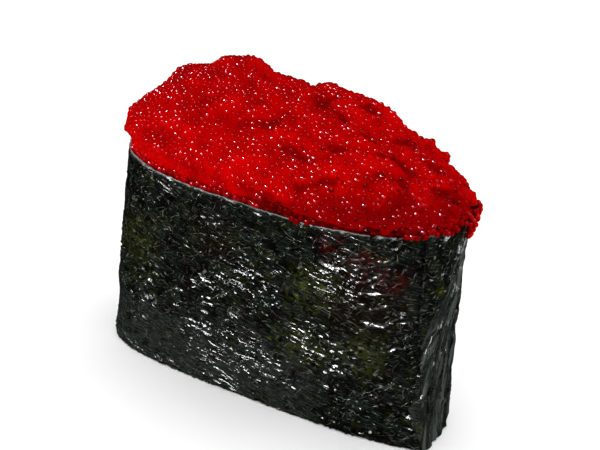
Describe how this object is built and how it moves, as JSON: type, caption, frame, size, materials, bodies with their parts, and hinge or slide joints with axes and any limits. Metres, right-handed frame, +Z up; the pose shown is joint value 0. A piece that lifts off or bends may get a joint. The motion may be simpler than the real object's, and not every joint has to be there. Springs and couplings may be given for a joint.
{
  "type": "gunkan sushi",
  "caption": "Oval gunkan sushi: an upright pressed-seaweed strip lapped round pressed rice, heaped above its rim with small red fish roe.",
  "frame": {"origin": "middle of the flat base, on the surface the sushi stands on", "axes": "+Z up, +X along the oval to its lower right end, -Y is the front"},
  "size_m": [0.0556, 0.0316, 0.0464],
  "materials": {
    "nori": "crinkled, satin",
    "rice": "moist, satin",
    "roe": "wet, glossy, translucent"
  },
  "bodies": {
    "root": {"nori_wrap": "nori", "rice_base": "rice", "roe_heap": "roe"}
  },
  "joints": []
}
